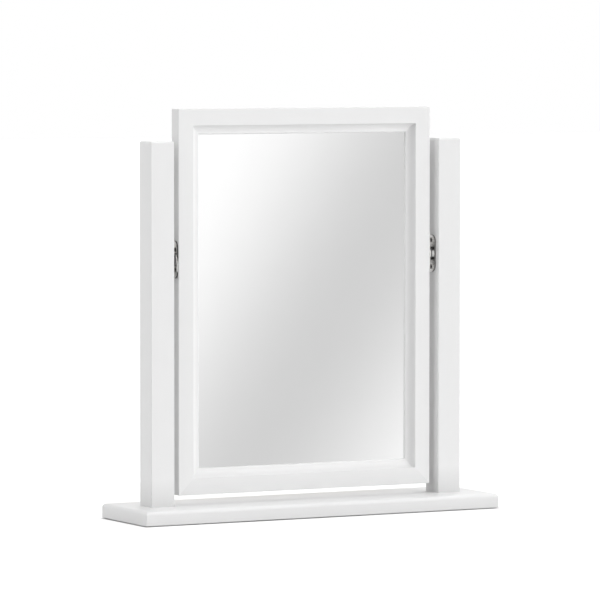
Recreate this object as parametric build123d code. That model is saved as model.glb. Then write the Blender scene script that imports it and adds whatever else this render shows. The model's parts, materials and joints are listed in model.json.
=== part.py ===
from build123d import *
import os
from math import sqrt

# Vanity mirror: a framed glass that tilts on two friction swivels between posts on a base board.
# Millimetres. +X is the viewer's right, +Y points away from the viewer and +Z is up.
# The origin is the middle of the footprint, on the surface that the mirror stands on.

# Frame, outside
frame_width = 401.4
frame_height = 538
frame_edge_round = 0.8
frame_back_edge_round = 1
frame_corner_round = 1.2

# Frame section, from the outer edge inwards and from the front face back
face_width = 23.4
face_edge_round = 0.4
quirk_depth = 2
cove_width = 10.2
cove_depth = 6.2
bead_radius = 2.6
glass_lap = 8
board_land = 8
back_recess = 1.2

# Glass and backing board
glass_thickness = 4
glass_edge_chamfer = 0.4
glass_side_gap = 1
board_thickness = 5
board_side_gap = 0.5

# Dowels in the frame's mitred corners
mitre_dowel_radius = 3
mitre_dowel_spacing = 8.5
mitre_dowel_to_rebate = 4
mitre_dowel_cover = 5

# Base board and its pads
base_depth = 140
base_thickness = 20
base_overhang = 33.6
base_edge_round = 5
base_corner_round = 1
base_bottom_round = 0.8
pad_radius = 9
pad_thickness = 1
pad_end_inset = 30
pad_side_inset = 22

# Posts
post_width = 36
post_depth = 36
post_above_pivot = 165
post_edge_round = 1.2
post_top_round = 2.5

# Fastenings of the posts, from below the base
post_screw_length = 60
post_screw_shank_radius = 2.5
post_screw_head_radius = 5
post_screw_edge_distance = 7.5
post_dowel_radius = 4
post_dowel_length = 36
post_dowel_depth_in_base = 12

# Places of the frame and of its pivot
frame_clearance = 13.8
pivot_above_frame_bottom = 328.5

# Swivel plates, pressed from one sheet
plate_length = 53
post_plate_width = 20.6
frame_plate_width = 17.4
frame_plate_disc_radius = 10.2
plate_thickness = 2
plate_edge_round = 0.5
post_plate_screw_offset = 19
frame_plate_screw_offset = 14
frame_plate_screw_forward = 4

# Swivel stack, in its order from the frame to the post
spacer_thickness = 1
spacer_radius = 9.8
spacer_edge_chamfer = 0.3
friction_washer_thickness = 1.4
friction_washer_radius = 9.8
cup_wall = 1.5
cup_face_radius = 8.4
cup_base_radius = 9.6
cup_edge_round = 1
spring_height = 1.6
spring_sheet = 0.5
spring_radius = 6.3
spring_flat = 0.8
rivet_radius = 3
rivet_head_radius = 5
rivet_head_height = 2
rivet_end_gap = 0.7

# Screws of the swivel plates and of the backing board
plate_screw_length = 18
plate_screw_shank_radius = 1.75
plate_screw_head_radius = 3.5
board_screw_length = 12
board_screw_shank_radius = 1.5
board_screw_head_radius = 3
board_screws_per_stile = 3
board_screws_per_rail = 2
board_screw_stile_inset = 70
board_screw_rail_inset = 110

# Form that every screw and dowel shares, as shares of the head's or dowel's radius
recess_span_share = 1.25
recess_width_share = 0.4
recess_depth_share = 0.35
point_length_share = 2
dowel_chamfer_share = 0.25
screw_rim = 0.2

# Clearances
running_clearance = 0.08
fixed_fit = 0.05
hole_end_gap = 0.5

# Sizes that follow from the ones above
cove_end_depth = quirk_depth + cove_depth
sight_depth = cove_end_depth + bead_radius
member_width = face_width + cove_width + bead_radius
glass_rebate = member_width - glass_lap
board_rebate = glass_rebate - board_land
board_front_depth = sight_depth + glass_thickness
frame_thickness = board_front_depth + board_thickness + back_recess
frame_front = -frame_thickness / 2

base_top = pad_thickness + base_thickness
frame_bottom = base_top + frame_clearance
frame_top = frame_bottom + frame_height
pivot_height = frame_bottom + pivot_above_frame_bottom
post_height = pivot_height + post_above_pivot - base_top

# Stations along X of the right swivel
frame_side = frame_width / 2
frame_plate_face = frame_side + plate_thickness
spacer_end = frame_plate_face + spacer_thickness
cup_face = spacer_end + friction_washer_thickness
cup_floor = cup_face + cup_wall
rivet_head_start = cup_floor + spring_height
rivet_end = rivet_head_start + rivet_head_height
post_inner_side = rivet_end + rivet_end_gap
post_plate_face = post_inner_side - plate_thickness

post_outer_side = post_inner_side + post_width
post_centre = post_inner_side + post_width / 2
base_length = 2 * (post_outer_side + base_overhang)
rivet_bore = rivet_radius + running_clearance
mitre_dowel_inset = board_rebate - mitre_dowel_to_rebate
mitre_dowel_length = 2 * (mitre_dowel_inset * sqrt(2) - mitre_dowel_radius - mitre_dowel_cover)


def rounded_at(sketch, point, radius):
    """The sketch with the corner nearest to the point rounded."""
    corner = min(sketch.vertices(), key=lambda vertex: (Vector(vertex) - Vector(point)).length)
    return fillet(corner, radius)


def turned(points):
    """A solid of revolution about the pivot axis, from points given as (station along X, radius)."""
    section = make_face(Polyline(*points, close=True))
    return Pos(0, 0, pivot_height) * revolve(section, Axis.X)


def bore(start, end, radius):
    """A cylinder about the pivot axis between two stations along X, to cut a hole with."""
    return turned([(start, 0), (start, radius), (end, radius), (end, 0)])


def screw(length, shank_radius, head_radius):
    """A countersunk screw with a cross recess: its head's flat is at the origin and it points down."""
    cone_end = -screw_rim - (head_radius - shank_radius)
    point_start = -length + point_length_share * shank_radius
    outline = Polyline(
        (0, 0),
        (head_radius, 0),
        (head_radius, -screw_rim),
        (shank_radius, cone_end),
        (shank_radius, point_start),
        (0, -length),
        close=True,
    )
    body = revolve(Plane.XZ * make_face(outline), Axis.Z)
    slot = Box(
        recess_span_share * head_radius,
        recess_width_share * head_radius,
        recess_depth_share * head_radius,
        align=(Align.CENTER, Align.CENTER, Align.MAX),
    )
    return body - slot - Rot(0, 0, 90) * slot


def screw_hole(length, shank_radius, head_radius):
    """The hole that the screw of the same sizes sits in, with its countersink."""
    head = head_radius + fixed_fit
    shank = shank_radius + fixed_fit
    cone_end = -screw_rim - (head - shank)
    outline = Polyline(
        (0, 0),
        (head, 0),
        (head, -screw_rim),
        (shank, cone_end),
        (shank, -length - hole_end_gap),
        (0, -length - hole_end_gap),
        close=True,
    )
    return revolve(Plane.XZ * make_face(outline), Axis.Z)


def dowel(radius, length):
    """A wooden dowel along Z about the origin, with chamfered ends."""
    pin = Cylinder(radius, length)
    return chamfer(pin.edges().filter_by(GeomType.CIRCLE), dowel_chamfer_share * radius)


def dowel_hole(radius, length):
    """The hole that the dowel of the same sizes sits in."""
    return Cylinder(radius + fixed_fit, length + 2 * hole_end_gap)


def both_sides(shape):
    """The shape of the right side and its mirror image on the left."""
    return [mirror(shape, Plane.YZ), shape]


def post_screw_places():
    """Planes on the underside of the base, one for each screw that holds a post."""
    reach = post_depth / 2 - post_screw_edge_distance
    return [
        Plane((side * post_centre, across, pad_thickness), z_dir=(0, 0, -1))
        for side in (-1, 1)
        for across in (-reach, reach)
    ]


def post_dowel_places():
    """Middles of the dowels that locate the posts on the base."""
    middle = base_top - post_dowel_depth_in_base + post_dowel_length / 2
    return [Pos(side * post_centre, 0, middle) for side in (-1, 1)]


def post_plate_screw_places():
    """Planes on the right post plate's face, which looks to the left, one for each screw."""
    return [
        Plane((post_plate_face, 0, pivot_height + step), z_dir=(-1, 0, 0))
        for step in (-post_plate_screw_offset, post_plate_screw_offset)
    ]


def frame_plate_screw_places():
    """Planes on the right frame plate's face, which looks to the right, one for each screw."""
    return [
        Plane((frame_plate_face, -frame_plate_screw_forward, pivot_height + step), z_dir=(1, 0, 0))
        for step in (-frame_plate_screw_offset, frame_plate_screw_offset)
    ]


def mitre_dowel_places():
    """Planes across the mitres, one for each corner dowel."""
    middle_height = (frame_bottom + frame_top) / 2
    return [
        Plane(
            (
                side * (frame_width / 2 - mitre_dowel_inset),
                step,
                middle_height + end * (frame_height / 2 - mitre_dowel_inset),
            ),
            z_dir=(1, 0, -side * end),
        )
        for side in (-1, 1)
        for end in (-1, 1)
        for step in (-mitre_dowel_spacing / 2, mitre_dowel_spacing / 2)
    ]


def spread(count, reach):
    """Evenly spaced places from -reach to reach."""
    return [reach * (2 * index / (count - 1) - 1) for index in range(count)]


def board_screw_places():
    """Planes on the back of the backing board, one for each of its screws."""
    back = frame_front + board_front_depth + board_thickness
    inset = board_rebate + board_land / 2
    middle_height = (frame_bottom + frame_top) / 2
    across = frame_width / 2 - inset
    upwards = frame_height / 2 - inset
    on_stiles = [
        (side * across, place)
        for side in (-1, 1)
        for place in spread(board_screws_per_stile, frame_height / 2 - board_screw_stile_inset)
    ]
    on_rails = [
        (place, end * upwards)
        for end in (-1, 1)
        for place in spread(board_screws_per_rail, frame_width / 2 - board_screw_rail_inset)
    ]
    return [
        Plane((x, back, middle_height + z), z_dir=(0, 1, 0))
        for x, z in on_stiles + on_rails
    ]


def base_board():
    """The board under the posts: rounded over on top, drilled for the posts' screws and dowels."""
    board = Pos(0, 0, pad_thickness) * Box(
        base_length,
        base_depth,
        base_thickness,
        align=(Align.CENTER, Align.CENTER, Align.MIN),
    )
    board = fillet(board.edges().filter_by(Axis.Z), base_corner_round)
    board = fillet(board.edges().group_by(Axis.Z)[0], base_bottom_round)
    board = fillet(board.edges().group_by(Axis.Z)[-1], base_edge_round)
    for place in post_screw_places():
        board -= place * screw_hole(
            post_screw_length, post_screw_shank_radius, post_screw_head_radius
        )
    for place in post_dowel_places():
        board -= place * dowel_hole(post_dowel_radius, post_dowel_length)
    return board


def base_pads():
    """Four round pads under the base's corners."""
    across = base_length / 2 - pad_end_inset
    deep = base_depth / 2 - pad_side_inset
    pad = Cylinder(pad_radius, pad_thickness, align=(Align.CENTER, Align.CENTER, Align.MIN))
    return [Pos(x, y, 0) * pad for x in (-across, across) for y in (-deep, deep)]


def right_post():
    """The right post: a square stile with softened edges, drilled for its screws and its dowel."""
    post = Pos(post_centre, 0, base_top) * Box(
        post_width,
        post_depth,
        post_height,
        align=(Align.CENTER, Align.CENTER, Align.MIN),
    )
    post = fillet(post.edges().filter_by(Axis.Z), post_edge_round)
    post = fillet(post.edges().group_by(Axis.Z)[-1], post_top_round)
    for place in post_screw_places():
        post -= place * screw_hole(
            post_screw_length, post_screw_shank_radius, post_screw_head_radius
        )
    for place in post_dowel_places():
        post -= place * dowel_hole(post_dowel_radius, post_dowel_length)
    for place in post_plate_screw_places():
        post -= place * plate_screw_hole()
    return post


def plate_screw_hole():
    """The hole of a swivel plate's screw."""
    return screw_hole(plate_screw_length, plate_screw_shank_radius, plate_screw_head_radius)


def plate_screws(places):
    """The screws at these places of a right plate and at their mirror images on the left plate."""
    one = screw(plate_screw_length, plate_screw_shank_radius, plate_screw_head_radius)
    return [copy for place in places for copy in both_sides(place * one)]


def member_section():
    """Section of a frame member: x runs inwards from the outer edge and y back from the front face."""
    cove_start = (face_width, quirk_depth)
    cove_end = (face_width + cove_width, cove_end_depth)
    sight_edge = (member_width, sight_depth)
    outline = [
        Polyline((0, frame_thickness), (0, 0), (face_width, 0), cove_start),
        TangentArc(cove_end, cove_start, tangent=(-1, 0)),
        TangentArc(cove_end, sight_edge, tangent=(1, 0)),
        Polyline(
            sight_edge,
            (glass_rebate, sight_depth),
            (glass_rebate, board_front_depth),
            (board_rebate, board_front_depth),
            (board_rebate, frame_thickness),
            (0, frame_thickness),
        ),
    ]
    section = make_face(Curve() + outline)
    section = rounded_at(section, (0, 0), frame_edge_round)
    section = rounded_at(section, (face_width, 0), face_edge_round)
    return rounded_at(section, (0, frame_thickness), frame_back_edge_round)


def mitre_outline(length):
    """Outline of a member seen from the front: x inwards, y along it, with the frame's rounded corners."""
    shoulder = length / 2 - frame_corner_round
    corner_cut = frame_corner_round * (1 - sqrt(1 / 2))
    beyond = member_width + frame_corner_round
    upper = [
        Polyline((-frame_corner_round, 0), (-frame_corner_round, shoulder), (0, shoulder)),
        TangentArc((0, shoulder), (corner_cut, length / 2 - corner_cut), tangent=(0, 1)),
        Polyline((corner_cut, length / 2 - corner_cut), (beyond, length / 2 - beyond), (beyond, 0)),
    ]
    lower = [mirror(line, Plane.XZ) for line in upper]
    return make_face(Curve() + upper + lower)


def frame_member(length, outer_edge, inwards, along):
    """A moulded member with mitred ends: outer_edge is the middle of its outer front edge."""
    stock = extrude(member_section(), length / 2, both=True)
    mitred = stock & extrude(Plane.XZ * mitre_outline(length), 2 * frame_thickness, both=True)
    member = Plane(outer_edge, x_dir=inwards, z_dir=along) * mitred
    for place in mitre_dowel_places():
        member -= place * dowel_hole(mitre_dowel_radius, mitre_dowel_length)
    for place in board_screw_places():
        member -= place * board_screw_hole()
    for place in frame_plate_screw_places():
        for hole in both_sides(place * plate_screw_hole()):
            member -= hole
    return member


def frame_members():
    """The four members by name."""
    middle = (frame_bottom + frame_top) / 2
    right = frame_width / 2
    return {
        "frame_top_rail": frame_member(
            frame_width, (0, frame_front, frame_top), (0, 0, -1), (1, 0, 0)
        ),
        "frame_bottom_rail": frame_member(
            frame_width, (0, frame_front, frame_bottom), (0, 0, 1), (-1, 0, 0)
        ),
        "frame_left_stile": frame_member(
            frame_height, (-right, frame_front, middle), (1, 0, 0), (0, 0, 1)
        ),
        "frame_right_stile": frame_member(
            frame_height, (right, frame_front, middle), (-1, 0, 0), (0, 0, -1)
        ),
    }


def panel(rebate, side_gap, front_depth, thickness):
    """A flat panel that fills a rebate of the frame, less the gap at its sides."""
    trim = 2 * (rebate + side_gap)
    middle = (
        0,
        frame_front + front_depth + thickness / 2,
        (frame_bottom + frame_top) / 2,
    )
    return Pos(middle) * Box(frame_width - trim, thickness, frame_height - trim)


def mirror_glass():
    """The glass, with its edges taken off."""
    glass = panel(glass_rebate, glass_side_gap, sight_depth, glass_thickness)
    return chamfer(glass.edges(), glass_edge_chamfer)


def board_screw_hole():
    """The hole of a backing board's screw."""
    return screw_hole(board_screw_length, board_screw_shank_radius, board_screw_head_radius)


def backing_board():
    """The board behind the glass, countersunk for its screws."""
    board = panel(board_rebate, board_side_gap, board_front_depth, board_thickness)
    for place in board_screw_places():
        board -= place * board_screw_hole()
    return board


def flat_plate(start, outline):
    """A swivel plate's blank, from its outline about the pivot."""
    back = Plane((start, 0, pivot_height), x_dir=(0, 1, 0), z_dir=(1, 0, 0))
    return extrude(back * outline, plate_thickness)


def right_frame_plate():
    """The plate on the frame's side: a strap with a wider disc about the rivet's neck."""
    outline = SlotOverall(plate_length, frame_plate_width, rotation=90)
    plate = flat_plate(frame_side, outline + Circle(frame_plate_disc_radius))
    plate = fillet(plate.faces().sort_by(Axis.X)[-1].edges(), plate_edge_round)
    plate -= bore(frame_side, frame_plate_face, rivet_radius + fixed_fit)
    for place in frame_plate_screw_places():
        plate -= place * plate_screw_hole()
    return plate


def right_post_plate():
    """The plate on the post: a strap with the cup that holds the spring washer and the rivet's head."""
    plate = flat_plate(post_plate_face, SlotOverall(plate_length, post_plate_width, rotation=90))
    plate = fillet(plate.faces().sort_by(Axis.X)[0].edges(), plate_edge_round)
    cup = make_face(
        Polyline(
            (cup_face, 0),
            (cup_face, cup_face_radius),
            (post_plate_face, cup_base_radius),
            (post_inner_side, cup_base_radius),
            (post_inner_side, 0),
            close=True,
        )
    )
    cup = rounded_at(cup, (cup_face, cup_face_radius), cup_edge_round)
    plate += Pos(0, 0, pivot_height) * revolve(cup, Axis.X)
    plate -= turned(
        [
            (cup_floor, 0),
            (cup_floor, cup_face_radius - cup_wall),
            (post_inner_side, cup_base_radius - cup_wall),
            (post_inner_side, 0),
        ]
    )
    plate -= bore(cup_face, cup_floor, rivet_bore)
    for place in post_plate_screw_places():
        plate -= place * plate_screw_hole()
    return plate


def right_pivot_rivet():
    """The rivet that joins the plates and is the axle, flush with the back of the frame plate."""
    return turned(
        [
            (frame_side, 0),
            (frame_side, rivet_radius),
            (rivet_head_start, rivet_radius),
            (rivet_head_start, rivet_head_radius),
            (rivet_end, rivet_head_radius),
            (rivet_end, 0),
        ]
    )


def right_spacer_ring():
    """The bright ring on the frame plate, which turns with it."""
    inner_edge = rivet_radius + fixed_fit
    outer_edge = spacer_radius - spacer_edge_chamfer
    return turned(
        [
            (frame_plate_face, inner_edge),
            (frame_plate_face, outer_edge),
            (frame_plate_face + spacer_edge_chamfer, spacer_radius),
            (spacer_end - spacer_edge_chamfer, spacer_radius),
            (spacer_end, outer_edge),
            (spacer_end, inner_edge),
        ]
    )


def right_friction_washer():
    """The flat washer between the spacer ring and the cup."""
    return turned(
        [
            (spacer_end, rivet_bore),
            (spacer_end, friction_washer_radius),
            (cup_face, friction_washer_radius),
            (cup_face, rivet_bore),
        ]
    )


def right_spring_washer():
    """The dished washer in the cup, which presses the rivet's head away from the cup's floor."""
    return turned(
        [
            (rivet_head_start, rivet_bore),
            (rivet_head_start, rivet_bore + spring_flat),
            (cup_floor + spring_sheet, spring_radius),
            (cup_floor, spring_radius),
            (cup_floor, spring_radius - spring_flat),
            (rivet_head_start - spring_sheet, rivet_bore),
        ]
    )


def write(name, shapes):
    """One STEP file for a node: a single shape, or a group of separate solids."""
    group = shapes if isinstance(shapes, list) else [shapes]
    solids = [solid for shape in group for solid in shape.solids()]
    export_step(solids[0] if len(solids) == 1 else Compound(solids), f"parts/{name}.step")


def write_pair(name, right):
    """The left and right copies of a piece, each as its own node."""
    for side, shape in zip(("left", "right"), both_sides(right)):
        write(f"{side}_{name}", shape)


os.makedirs("parts", exist_ok=True)

write("base_board", base_board())
write("base_pads", base_pads())
write_pair("post", right_post())
write(
    "post_screws",
    [
        place * screw(post_screw_length, post_screw_shank_radius, post_screw_head_radius)
        for place in post_screw_places()
    ],
)
write(
    "post_dowels",
    [place * dowel(post_dowel_radius, post_dowel_length) for place in post_dowel_places()],
)

for member_name, member in frame_members().items():
    write(member_name, member)
write(
    "mitre_dowels",
    [place * dowel(mitre_dowel_radius, mitre_dowel_length) for place in mitre_dowel_places()],
)
write("mirror_glass", mirror_glass())
write("backing_board", backing_board())
write(
    "backing_screws",
    [
        place * screw(board_screw_length, board_screw_shank_radius, board_screw_head_radius)
        for place in board_screw_places()
    ],
)

write_pair("post_plate", right_post_plate())
write_pair("frame_plate", right_frame_plate())
write_pair("pivot_rivet", right_pivot_rivet())
write_pair("spacer_ring", right_spacer_ring())
write_pair("friction_washer", right_friction_washer())
write_pair("spring_washer", right_spring_washer())
write("post_plate_screws", plate_screws(post_plate_screw_places()))
write("frame_plate_screws", plate_screws(frame_plate_screw_places()))
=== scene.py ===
import json
from math import cos, pi, radians, sin

import bpy
from mathutils import Matrix, Vector


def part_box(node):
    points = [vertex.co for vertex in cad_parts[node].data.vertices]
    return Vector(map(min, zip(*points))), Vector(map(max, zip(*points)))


# Vanity mirror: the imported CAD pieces, dressed with procedural materials and lit as in a white studio.
# Metres. +X is the viewer's right, +Y points away from the viewer and +Z is up.

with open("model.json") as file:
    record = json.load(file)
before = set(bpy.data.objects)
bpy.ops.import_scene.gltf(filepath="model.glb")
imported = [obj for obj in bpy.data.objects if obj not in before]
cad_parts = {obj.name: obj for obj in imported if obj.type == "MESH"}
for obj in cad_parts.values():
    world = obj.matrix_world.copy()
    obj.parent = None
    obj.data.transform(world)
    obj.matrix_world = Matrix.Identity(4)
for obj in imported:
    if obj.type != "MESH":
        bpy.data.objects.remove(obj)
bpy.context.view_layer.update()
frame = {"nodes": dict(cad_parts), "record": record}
nodes = frame["nodes"]

# Axes, as places in a point
X, Y, Z = range(3)

# Camera, from a fit to the object's straight edges in the photograph
camera_place = Vector((-3.2277, -6.0021, 0.6913))
camera_yaw = radians(28.242)
camera_pitch = radians(3.271)
camera_roll = radians(0.019)
camera_lens = 290.5
camera_sensor = 36.0
camera_reach = 100

# Lighting, as the radiance that a white surface shows when it faces it.
# Each lamp: degrees to the right of the front, degrees up, level
sky_level = 0.05
seen_sky_level = 1.0
lamp_spread = radians(50)
lamps = {
    "key": (45, 15, 0.84),
    "left_fill": (-90, 15, 0.29),
    "high_left": (-60, 45, 0.21),
    "back_left": (-120, 45, 0.16),
    "back_right": (120, 45, 0.31),
    "top": (0, 90, 0.21),
}

# Floor: a light of its own, only where it is seen, brings the lit floor to white.
# It fades out at the base's edge, where the contact shadow lies.
# It is stronger where the key lamp's shadow falls, which the photograph shows white.
floor_half_size = 20.0
floor_colour = 0.65
floor_lift = 0.46
contact_fade = 0.006
shadow_lift = 0.12
shadow_place = (-0.48, 0.14, 0)
shadow_reach = (0.12, 0.42)

# Reflection sweep: softly striped wall and ground in front of the mirror that only mirror-like surfaces see
sweep_radius = 0.70
sweep_height = 2.6
sweep_reach = radians(100)
sweep_sides = 96
sweep_ground = 0.0004
stripe_period = 0.692
stripe_rise = 0.566
stripe_start = -0.264
stripe_middle = 0.867
stripe_swing = 0.1965

# Noise: levels of detail, and the part of its range that is spread out over a material's own
plain_detail = 2.0
fine_detail = 3.0
rich_detail = 4.0
noise_range = (0.3, 0.7)

# Satin paint
paint_colour = 0.80
paint_colour_spread = 0.012
paint_patch_size = 0.035
paint_roughness = (0.34, 0.44)
paint_gloss_size = 0.007
paint_peel_size = 0.0013
paint_peel_height = 0.000012
paint_grain_size = 0.0011
paint_grain_height = 0.000010
grain_stretch = 0.03

# Painted shade towards a piece's foot: the share of its colour left there and how far up that reaches
foot_shades = {
    "left_post": (0.81, 0.038),
    "right_post": (0.81, 0.038),
    "base_board": (0.91, 0.020),
    "frame_bottom_rail": (0.93, 0.036),
}

# Painted shade on the left stile's outer side, and painted light below the step of the top rail
stile_side_shade_colour = 0.73
stile_side_shade_blend = 0.0012
top_cove_light_colour = 0.865
frame_face_width = 0.0234
top_cove_light_blend = 0.0004

# Silvered glass
glass_colours = ((0.950, 0.950, 0.950), (0.960, 0.960, 0.960))
glass_haze_size = 0.05
glass_roughness = (0.0, 0.012)

# Nickel plate on pressed sheet.
# The turn is how much the normal points along X where a face becomes a cut edge.
nickel_colours = ((0.73, 0.72, 0.70), (0.82, 0.81, 0.79))
nickel_roughness = (0.17, 0.30)
nickel_patch_size = 0.006
brush_size = 0.00018
brush_stretch = 0.02
brush_height = 0.000002
cut_edge_turn = (0.75, 0.40)

# Post plates: duller, with painted shade on the face towards the cup and on the cut edge, and the cup bright
# with a painted dark reflection on its upper and lower wall. The reach is given as the heights over the pivot
# between which the painted shade on the face fades out, and the turn is how much the normal points along Z
# where the cup's painted dark reflection comes in.
plate_thickness = 0.002
post_plate_colours = ((0.42, 0.415, 0.405), (0.52, 0.515, 0.505))
post_plate_shade_reach = (0.010, 0.019)
post_plate_shade_share = 0.5
post_plate_edge_shade_colour = (0.24, 0.235, 0.23)
cup_colours = ((0.52, 0.515, 0.505), (0.62, 0.615, 0.605))
cup_dark_reflection_colour = (0.03, 0.03, 0.03)
cup_dark_reflection_turn = (0.36, 0.56)
cup_margin = 0.0001

# Left frame plate: painted shade on its cut edge with a painted highlight along a stretch of it, given as the
# heights over the pivot between which the painted highlight comes in and fades out again, and painted shade
# on its lower face
edge_highlight_start = (-0.018, -0.015)
edge_highlight_end = (-0.004, 0.001)
edge_shade_colour = (0.07, 0.07, 0.07)
edge_highlight_colour = (0.62, 0.62, 0.61)
low_face_shade_colour = (0.45, 0.45, 0.44)

# Screws: painted shade inside the recess
dark_steel_colours = ((0.06, 0.055, 0.05), (0.12, 0.115, 0.11))
recess_shade_colour = (0.03, 0.03, 0.03)
recess_roughness = 0.6
recess_depths = (0.0001, 0.0007)
zinc_colours = ((0.57, 0.56, 0.52), (0.67, 0.67, 0.66))
zinc_roughness = (0.28, 0.46)
zinc_patch_size = 0.0016
zinc_patch_steps = 7.0

# Hard fibreboard
board_colours = ((0.33, 0.225, 0.14), (0.55, 0.42, 0.29))
board_roughness = (0.60, 0.82)
board_patch_size = 0.011
board_fibre_size = 0.0008
board_fibre_stretch = 0.12
board_fibre_height = 0.00006

# Pressed felt
felt_colours = ((0.09, 0.09, 0.095), (0.24, 0.24, 0.255))
felt_roughness = (0.85, 1.0)
felt_fibre_size = 0.00025
felt_fibre_stretch = 0.15
felt_fibre_height = 0.00008
felt_sheen = 0.4

# Bare beech
beech_colours = ((0.60, 0.42, 0.26), (0.77, 0.60, 0.41))
beech_roughness = (0.5, 0.7)
beech_grain_size = 0.0007
beech_grain_height = 0.00002

# Black washers and oiled spring steel
plastic_colours = ((0.085, 0.085, 0.087), (0.13, 0.13, 0.132))
plastic_roughness = (0.40, 0.58)
plastic_mottle_size = 0.0009
plastic_mottle_height = 0.00001
spring_colours = ((0.34, 0.33, 0.33), (0.50, 0.50, 0.51))
spring_roughness = (0.26, 0.44)
spring_patch_size = 0.0025


def grey(level):
    """A colour of that level."""
    return (level, level, level)


def tree_of(material):
    """The material's node tree, emptied."""
    material.use_nodes = True
    material.node_tree.nodes.clear()
    return material.node_tree


def add(tree, kind, **values):
    """A node of that kind, with its properties set."""
    made = tree.nodes.new(kind)
    for name, value in values.items():
        setattr(made, name, value)
    return made


def feed(tree, socket, term):
    """Links an output to the socket, or sets the socket to a plain number or colour."""
    if isinstance(term, bpy.types.NodeSocket):
        tree.links.new(term, socket)
    else:
        socket.default_value = term


def math_node(tree, operation, *terms):
    """A maths node on outputs and plain numbers, and its result."""
    made = add(tree, "ShaderNodeMath", operation=operation)
    for socket, term in zip(made.inputs, terms):
        feed(tree, socket, term)
    return made.outputs[0]


def average(tree, first, second):
    """The mean of two values."""
    return math_node(tree, "MULTIPLY", math_node(tree, "ADD", first, second), 0.5)


def object_place(tree):
    """Place on the piece, in metres of the shared frame, which the piece carries with it as it moves."""
    return add(tree, "ShaderNodeTexCoord").outputs["Object"]


def object_normal(tree):
    """Direction that the surface faces, which the piece carries with it as it moves."""
    return add(tree, "ShaderNodeTexCoord").outputs["Normal"]


def along(tree, vector, axis):
    """The vector's part along the axis."""
    parts = add(tree, "ShaderNodeSeparateXYZ")
    tree.links.new(vector, parts.inputs[0])
    return parts.outputs[axis]


def size_along(tree, vector, axis):
    """The size of the vector's part along the axis, to either side."""
    return math_node(tree, "ABSOLUTE", along(tree, vector, axis))


def over_pivot(tree):
    """Height over the pivot, for pieces that are centred on it."""
    (_, _, bottom), (_, _, top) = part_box("right_post_plate")
    return math_node(tree, "SUBTRACT", along(tree, object_place(tree), Z), (bottom + top) / 2)


def spread_over(tree, value, low, high, start=noise_range[0], end=noise_range[1]):
    """The value's range from start to end, laid over low to high and held there."""
    made = add(tree, "ShaderNodeMapRange")
    tree.links.new(value, made.inputs["Value"])
    for name, term in (("From Min", start), ("From Max", end), ("To Min", low), ("To Max", high)):
        made.inputs[name].default_value = term
    return made.outputs[0]


def colour_between(tree, factor, first, second):
    """A colour that goes from the first to the second as the factor goes from 0 to 1."""
    made = add(tree, "ShaderNodeMix", data_type="RGBA")
    feed(tree, made.inputs["Factor"], factor)
    # By number, because the sockets for colours have the same names as those for numbers
    for socket, colour in ((made.inputs[6], first), (made.inputs[7], second)):
        feed(tree, socket, (*colour, 1) if isinstance(colour, tuple) else colour)
    return made.outputs[2]


def seen_directly(tree):
    """A value of 1 for camera, glossy and transmission rays, and 0 for the light on the object."""
    path = add(tree, "ShaderNodeLightPath")
    camera, glossy, transmitted = (
        path.outputs[ray] for ray in ("Is Camera Ray", "Is Glossy Ray", "Is Transmission Ray")
    )
    return math_node(tree, "MAXIMUM", camera, math_node(tree, "MAXIMUM", glossy, transmitted))


def make_camera():
    """The photograph's camera, which the render looks through."""
    data = bpy.data.cameras.new("camera")
    data.lens = camera_lens
    data.sensor_width = camera_sensor
    data.clip_end = camera_reach
    camera = bpy.data.objects.new("camera", data)
    turn = (
        Matrix.Rotation(-camera_yaw, 4, "Z")
        @ Matrix.Rotation(radians(90) - camera_pitch, 4, "X")
        @ Matrix.Rotation(camera_roll, 4, "Z")
    )
    camera.matrix_world = Matrix.Translation(camera_place) @ turn
    bpy.context.scene.collection.objects.link(camera)
    bpy.context.scene.camera = camera


def make_world():
    """An even sky that lights the object, and white where it is seen."""
    world = bpy.data.worlds.new("studio")
    bpy.context.scene.world = world
    tree = tree_of(world)
    mix = add(tree, "ShaderNodeMixShader")
    out = add(tree, "ShaderNodeOutputWorld")
    for socket, level in ((mix.inputs[1], sky_level), (mix.inputs[2], seen_sky_level)):
        background = add(tree, "ShaderNodeBackground")
        background.inputs["Color"].default_value = (1, 1, 1, 1)
        background.inputs["Strength"].default_value = level
        tree.links.new(background.outputs[0], socket)
    tree.links.new(seen_directly(tree), mix.inputs["Fac"])
    tree.links.new(mix.outputs[0], out.inputs["Surface"])


def make_lamp(name, azimuth, elevation, level):
    """A soft lamp, so far away that it lights the whole object alike."""
    across = radians(azimuth)
    up = radians(elevation)
    direction = Vector((sin(across) * cos(up), -cos(across) * cos(up), sin(up)))
    data = bpy.data.lights.new(name, "SUN")
    data.energy = level * pi
    data.angle = lamp_spread
    lamp = bpy.data.objects.new(name, data)
    lamp.rotation_euler = direction.to_track_quat("Z", "Y").to_euler()
    bpy.context.scene.collection.objects.link(lamp)


def stage_mesh(name, points, faces, material):
    """A mesh that belongs to the studio and not to the object."""
    mesh = bpy.data.meshes.new(name)
    mesh.from_pydata(points, [], faces)
    mesh.materials.append(material)
    made = bpy.data.objects.new(name, mesh)
    bpy.context.scene.collection.objects.link(made)
    return made


def floor_glow(tree):
    """The floor's own light: none under the base, and more where the key lamp's shadow falls."""
    place = object_place(tree)
    base_half_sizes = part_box("base_board")[1]
    beyond = [
        math_node(tree, "SUBTRACT", size_along(tree, place, axis), base_half_sizes[axis])
        for axis in (X, Y)
    ]
    outside = spread_over(tree, math_node(tree, "MAXIMUM", *beyond), 0, 1, 0, contact_fade)
    distance = add(tree, "ShaderNodeVectorMath", operation="DISTANCE")
    tree.links.new(place, distance.inputs[0])
    distance.inputs[1].default_value = shadow_place
    in_shadow = spread_over(tree, distance.outputs["Value"], shadow_lift, 0, *shadow_reach)
    return math_node(tree, "MULTIPLY", outside, math_node(tree, "ADD", in_shadow, floor_lift))


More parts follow.
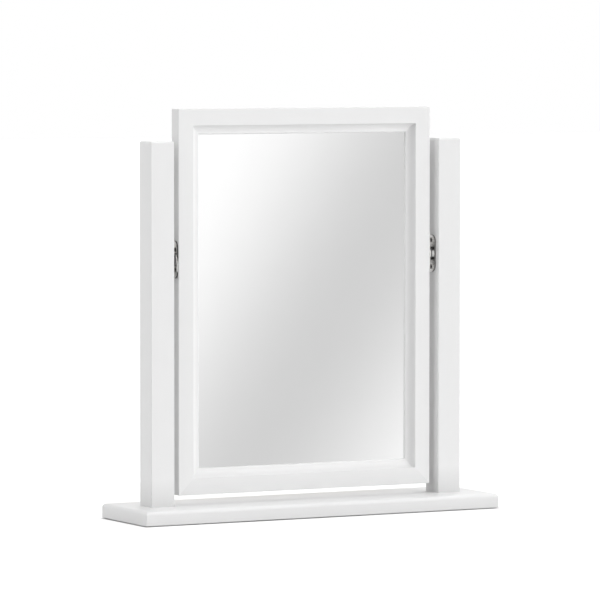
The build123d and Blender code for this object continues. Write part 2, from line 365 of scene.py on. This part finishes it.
def floor_material():
    """Pale matt floor with a light of its own where it is seen."""
    material = bpy.data.materials.new("floor")
    tree = tree_of(material)
    diffuse = add(tree, "ShaderNodeBsdfDiffuse")
    diffuse.inputs["Color"].default_value = (*grey(floor_colour), 1)
    lift = add(tree, "ShaderNodeEmission")
    feed(tree, lift.inputs["Strength"], math_node(tree, "MULTIPLY", seen_directly(tree), floor_glow(tree)))
    both = add(tree, "ShaderNodeAddShader")
    out = add(tree, "ShaderNodeOutputMaterial")
    tree.links.new(diffuse.outputs[0], both.inputs[0])
    tree.links.new(lift.outputs[0], both.inputs[1])
    tree.links.new(both.outputs[0], out.inputs["Surface"])
    return material


def make_floor():
    """The flat floor that the object stands on."""
    h = floor_half_size
    corners = [(-h, -h, 0), (h, -h, 0), (h, h, 0), (-h, h, 0)]
    stage_mesh("floor", corners, [(0, 1, 2, 3)], floor_material())


def sweep_material():
    """Soft slanting stripes, by the way round the sweep and the way up it from the foot of its wall."""
    material = bpy.data.materials.new("sweep")
    tree = tree_of(material)
    x, y, z = (along(tree, object_place(tree), axis) for axis in (X, Y, Z))
    angle = math_node(tree, "ARCTAN2", x, math_node(tree, "MULTIPLY", y, -1.0))
    flat = add(tree, "ShaderNodeCombineXYZ")
    tree.links.new(x, flat.inputs[X])
    tree.links.new(y, flat.inputs[Y])
    length = add(tree, "ShaderNodeVectorMath", operation="LENGTH")
    tree.links.new(flat.outputs[0], length.inputs[0])
    away = length.outputs["Value"]
    around = math_node(tree, "MULTIPLY", angle, away)
    upwards = math_node(tree, "ADD", z, math_node(tree, "SUBTRACT", away, sweep_radius))
    across_stripes = math_node(tree, "SUBTRACT", around, math_node(tree, "MULTIPLY", upwards, stripe_rise))
    from_first = math_node(tree, "ADD", across_stripes, stripe_start)
    wave = math_node(tree, "COSINE", math_node(tree, "MULTIPLY", from_first, 2 * pi / stripe_period))
    glow = add(tree, "ShaderNodeEmission")
    feed(tree, glow.inputs["Strength"], math_node(tree, "MULTIPLY_ADD", wave, -stripe_swing, stripe_middle))
    out = add(tree, "ShaderNodeOutputMaterial")
    tree.links.new(glow.outputs[0], out.inputs["Surface"])
    return material


def make_sweep():
    """The sweep's wall, and its ground from the wall's foot to the middle."""
    turns = [sweep_reach * (2 * index / sweep_sides - 1) for index in range(sweep_sides + 1)]
    arc = [(sweep_radius * sin(turn), -sweep_radius * cos(turn)) for turn in turns]
    points = [(x, y, z) for x, y in arc for z in (sweep_ground, sweep_height)] + [(0, 0, sweep_ground)]
    faces = [(2 * i, 2 * i + 2, 2 * i + 3, 2 * i + 1) for i in range(sweep_sides)]
    faces += [(len(points) - 1, 2 * i + 2, 2 * i) for i in range(sweep_sides)]
    sweep = stage_mesh("sweep", points, faces, sweep_material())
    sweep.visible_camera = False
    sweep.visible_diffuse = False
    sweep.visible_shadow = False
    sweep.visible_transmission = False


def surface(name, metallic=0.0):
    """A new material, its tree and its Principled shader."""
    material = bpy.data.materials.new(name)
    tree = tree_of(material)
    shader = add(tree, "ShaderNodeBsdfPrincipled")
    shader.inputs["Metallic"].default_value = metallic
    out = add(tree, "ShaderNodeOutputMaterial")
    tree.links.new(shader.outputs[0], out.inputs["Surface"])
    return material, tree, shader


def noise(tree, size, detail=plain_detail, stretch=(1, 1, 1)):
    """Noise from 0 to 1 with features of that size in metres, drawn out along an axis by a small stretch."""
    scaled = add(tree, "ShaderNodeVectorMath", operation="MULTIPLY")
    tree.links.new(object_place(tree), scaled.inputs[0])
    scaled.inputs[1].default_value = [factor / size for factor in stretch]
    made = add(tree, "ShaderNodeTexNoise")
    tree.links.new(scaled.outputs[0], made.inputs["Vector"])
    made.inputs["Scale"].default_value = 1.0
    made.inputs["Detail"].default_value = detail
    return made.outputs["Fac"]


def drawn_out(axis, factor):
    """Stretch factors that draw a noise out along one axis."""
    return tuple(factor if index == axis else 1 for index in (X, Y, Z))


def fibres(tree, size, stretch):
    """Fine fibres that cross each other."""
    return math_node(
        tree, "MAXIMUM", *[noise(tree, size, plain_detail, drawn_out(axis, stretch)) for axis in (X, Z)]
    )


def add_bump(tree, shader, *layers):
    """Bump from layers of (height from 0 to 1, metres high)."""
    normal = None
    for height, metres in layers:
        bump = add(tree, "ShaderNodeBump")
        bump.inputs["Distance"].default_value = metres
        tree.links.new(height, bump.inputs["Height"])
        if normal:
            tree.links.new(normal, bump.inputs["Normal"])
        normal = bump.outputs["Normal"]
    tree.links.new(normal, shader.inputs["Normal"])


def dress(tree, shader, factor, colours, roughness):
    """Base colour and roughness that vary together with the factor."""
    factor = spread_over(tree, factor, 0, 1)
    feed(tree, shader.inputs["Base Color"], colour_between(tree, factor, *colours))
    feed(tree, shader.inputs["Roughness"], spread_over(tree, factor, *roughness, 0, 1))


def stile_side_shade(tree):
    """1 on the outer side of the left stile, where painted shade lies, and 0 elsewhere."""
    side = -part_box("frame_left_stile")[0][0]
    return spread_over(tree, size_along(tree, object_place(tree), X), 0, 1, side - stile_side_shade_blend, side)


def top_cove_light(tree):
    """1 on the top rail below the step of its face, where painted light lies, and 0 on the face."""
    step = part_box("frame_top_rail")[1][2] - frame_face_width
    return spread_over(tree, size_along(tree, object_place(tree), Z), 1, 0, step, step + top_cove_light_blend)


def painted_wood(name, grain_axis, foot_shade=None, light_and_shade_patch=None):
    """Satin white paint: fine orange peel, a trace of the grain along the piece and uneven gloss.
    Painted shade at the foot is given as the foot's height, the share of the colour left there and how far up
    it reaches. A patch of painted light and shade is given as a function that is 1 where it lies, and its
    colour."""
    material, tree, shader = surface(name)
    grain = noise(tree, paint_grain_size, fine_detail, drawn_out(grain_axis, grain_stretch))
    patches = noise(tree, paint_patch_size, fine_detail)
    half = paint_colour_spread / 2
    colour = colour_between(
        tree,
        spread_over(tree, average(tree, grain, patches), 0, 1),
        grey(paint_colour - half),
        grey(paint_colour + half),
    )
    # Painted shade: the colour darkens towards the piece's foot
    if foot_shade:
        foot, share, reach = foot_shade
        height = size_along(tree, object_place(tree), Z)
        unshaded = spread_over(tree, height, share, 1, foot, foot + reach)
        colour = colour_between(tree, unshaded, grey(0), colour)
    # A patch of painted light and shade over part of the piece
    if light_and_shade_patch:
        amount, light_and_shade_colour = light_and_shade_patch
        colour = colour_between(tree, amount(tree), colour, grey(light_and_shade_colour))
    gloss = noise(tree, paint_gloss_size, rich_detail)
    feed(tree, shader.inputs["Base Color"], colour)
    feed(tree, shader.inputs["Roughness"], spread_over(tree, gloss, *paint_roughness))
    add_bump(tree, shader, (grain, paint_grain_height), (noise(tree, paint_peel_size), paint_peel_height))
    return material


def silvered_glass():
    """A clean mirror with a trace of haze."""
    material, tree, shader = surface("silvered_glass", metallic=1.0)
    dress(tree, shader, noise(tree, glass_haze_size, rich_detail), glass_colours, glass_roughness)
    return material


def cut_edge(tree):
    """1 on a plate's cut edge and 0 on its faces."""
    return spread_over(tree, size_along(tree, object_normal(tree), X), 0, 1, *cut_edge_turn)


def plain_colour(tree, patches):
    """Colour of plain nickel plate."""
    return colour_between(tree, patches, *nickel_colours)


def dark_colour(tree, patches):
    """Colour of dark nickel plate."""
    return colour_between(tree, patches, *dark_steel_colours)


def post_plate_colour(tree, patches):
    """Colour of the post plates and of the cups on them, with painted shade on the face near the cup and on
    the cut edge, and a painted dark reflection on the cup's upper and lower wall.
    """
    height = math_node(tree, "ABSOLUTE", over_pivot(tree))
    # Painted shade on the face, darker towards the cup
    away = spread_over(tree, height, post_plate_shade_share, 1, *post_plate_shade_reach)
    face = colour_between(tree, away, grey(0), colour_between(tree, patches, *post_plate_colours))
    # Painted shade on the cut edge
    plate = colour_between(tree, cut_edge(tree), face, post_plate_edge_shade_colour)
    # Painted dark reflection on the cup's upper and lower wall
    dark_reflection_mask = spread_over(tree, size_along(tree, object_normal(tree), Z), 0, 1, *cup_dark_reflection_turn)
    cup = colour_between(tree, dark_reflection_mask, colour_between(tree, patches, *cup_colours), cup_dark_reflection_colour)
    cup_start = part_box("right_post")[0][0] - plate_thickness - cup_margin
    on_cup = math_node(tree, "LESS_THAN", size_along(tree, object_place(tree), X), cup_start)
    return colour_between(tree, on_cup, plate, cup)


def left_frame_plate_colour(tree, patches):
    """Colour of the left frame plate: painted shade on its cut edge with a painted highlight along a stretch,
    and painted shade on its lower face.
    """
    height = over_pivot(tree)
    above = spread_over(tree, height, 0, 1, *edge_highlight_start)
    below = spread_over(tree, height, 1, 0, *edge_highlight_end)
    # Painted shade on the lower face
    face = colour_between(tree, below, plain_colour(tree, patches), low_face_shade_colour)
    # Painted highlight along a stretch of the cut edge, painted shade on the rest of it
    highlight = math_node(tree, "MULTIPLY", above, below)
    edge = colour_between(tree, highlight, edge_shade_colour, edge_highlight_colour)
    return colour_between(tree, cut_edge(tree), face, edge)


def recess(node, axis, pick, inwards):
    """For a tree: 1 in the recesses of the node's screws and 0 on the flat of their heads, which is the
    lowest or highest station on the axis, by pick. Inwards is 1 where the screws run to higher stations."""
    head = pick(abs(vertex.co[axis]) for vertex in nodes[node].data.vertices)

    def amount(tree):
        deeper = math_node(tree, "SUBTRACT", size_along(tree, object_place(tree), axis), head)
        return spread_over(tree, math_node(tree, "MULTIPLY", deeper, inwards), 0, 1, *recess_depths)

    return amount


def shade_in_recesses(tree, shader, amount, colour, roughness):
    """Base colour and roughness that give way to dark painted shade and rough ones where the amount is 1."""
    feed(tree, shader.inputs["Base Color"], colour_between(tree, amount, colour, recess_shade_colour))
    change = math_node(tree, "SUBTRACT", recess_roughness, roughness)
    feed(tree, shader.inputs["Roughness"], math_node(tree, "MULTIPLY_ADD", amount, change, roughness))


def nickel(name, colour_of, recess_amount=None):
    """Nickel plate with fine brushing, its colour given by a function of the tree and of uneven patches."""
    material, tree, shader = surface(name, metallic=1.0)
    brushing = noise(tree, brush_size, fine_detail, drawn_out(Z, brush_stretch))
    patches = noise(tree, nickel_patch_size, fine_detail)
    colour = colour_of(tree, patches)
    roughness = spread_over(tree, average(tree, brushing, patches), *nickel_roughness)
    # Painted shade in the screws' recesses
    if recess_amount:
        shade_in_recesses(tree, shader, recess_amount(tree), colour, roughness)
    else:
        feed(tree, shader.inputs["Base Color"], colour)
        feed(tree, shader.inputs["Roughness"], roughness)
    add_bump(tree, shader, (brushing, brush_height))
    return material


def zinc(name, recess_amount):
    """Zinc plate in faintly different patches, with painted shade in the recesses."""
    material, tree, shader = surface(name, metallic=1.0)
    cells = add(tree, "ShaderNodeTexVoronoi")
    cells.inputs["Scale"].default_value = 1 / zinc_patch_size
    tree.links.new(object_place(tree), cells.inputs["Vector"])
    steps = math_node(tree, "MULTIPLY", cells.outputs["Color"], zinc_patch_steps)
    patches = math_node(tree, "FRACT", steps)
    colour = colour_between(tree, patches, *zinc_colours)
    roughness = spread_over(tree, average(tree, patches, noise(tree, brush_size)), *zinc_roughness)
    shade_in_recesses(tree, shader, recess_amount(tree), colour, roughness)
    return material


def fibreboard():
    """Brown board of pressed fibres, mottled."""
    material, tree, shader = surface("backing_fibreboard")
    crossed = fibres(tree, board_fibre_size, board_fibre_stretch)
    mottle = average(tree, crossed, noise(tree, board_patch_size, rich_detail))
    dress(tree, shader, mottle, board_colours, board_roughness)
    add_bump(tree, shader, (crossed, board_fibre_height))
    return material


def felt():
    """Dark pressed felt with loose fibres."""
    material, tree, shader = surface("pad_felt")
    crossed = fibres(tree, felt_fibre_size, felt_fibre_stretch)
    dress(tree, shader, crossed, felt_colours, felt_roughness)
    shader.inputs["Sheen Weight"].default_value = felt_sheen
    add_bump(tree, shader, (crossed, felt_fibre_height))
    return material


def beech():
    """Bare beech with its grain along Z."""
    material, tree, shader = surface("dowel_wood")
    grain = noise(tree, beech_grain_size, rich_detail, drawn_out(Z, grain_stretch))
    dress(tree, shader, grain, beech_colours, beech_roughness)
    add_bump(tree, shader, (grain, beech_grain_height))
    return material


def washer_plastic():
    """Matt black plastic."""
    material, tree, shader = surface("washer_plastic")
    mottle = noise(tree, plastic_mottle_size, fine_detail)
    dress(tree, shader, mottle, plastic_colours, plastic_roughness)
    add_bump(tree, shader, (mottle, plastic_mottle_height))
    return material


def spring_steel():
    """Oiled spring steel, with darker patches from its tempering."""
    material, tree, shader = surface("spring_steel", metallic=1.0)
    dress(tree, shader, noise(tree, spring_patch_size, rich_detail), spring_colours, spring_roughness)
    return material


make_camera()
make_world()
for lamp_name, (azimuth, elevation, level) in lamps.items():
    make_lamp(lamp_name, azimuth, elevation, level)
make_floor()
make_sweep()

slot_materials = {
    "painted_wood": painted_wood("painted_wood_upright", Z),
    "pad_felt": felt(),
    "dowel_wood": beech(),
    "silvered_glass": silvered_glass(),
    "backing_fibreboard": fibreboard(),
    "bright_nickel": nickel("bright_nickel", plain_colour),
    "washer_plastic": washer_plastic(),
    "spring_steel": spring_steel(),
}
node_materials = {
    "post_screws": zinc("post_screws", recess("post_screws", Z, min, 1)),
    "backing_screws": zinc("backing_screws", recess("backing_screws", Y, max, -1)),
    "post_plate_screws": nickel("post_plate_screws", dark_colour, recess("post_plate_screws", X, min, 1)),
    "frame_plate_screws": nickel("frame_plate_screws", dark_colour, recess("frame_plate_screws", X, max, -1)),
    "left_frame_plate": nickel("left_frame_plate", left_frame_plate_colour),
    # Painted light below the top rail's step, and painted shade on the left stile's outer side
    "frame_top_rail": painted_wood("painted_top_rail", X, light_and_shade_patch=(top_cove_light, top_cove_light_colour)),
    "frame_left_stile": painted_wood("painted_left_stile", Z, light_and_shade_patch=(stile_side_shade, stile_side_shade_colour)),
}
# Painted shade towards the feet of the posts, the base board and the bottom rail
for name, (share, reach) in foot_shades.items():
    (low_x, _, foot), (high_x, _, top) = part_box(name)
    grain_axis = Z if top - foot > high_x - low_x else X
    node_materials[name] = painted_wood(f"painted_{name}", grain_axis, foot_shade=(foot, share, reach))
plates_on_posts = nickel("post_plate_nickel", post_plate_colour)
for name in ("left_post_plate", "right_post_plate"):
    node_materials[name] = plates_on_posts

for part in frame["record"]["subparts"]:
    name = part["node"]
    mesh = nodes[name].data
    mesh.materials.clear()
    mesh.materials.append(node_materials.get(name) or slot_materials[part["material_slot"]])

bpy.context.scene.view_settings.view_transform = "Standard"
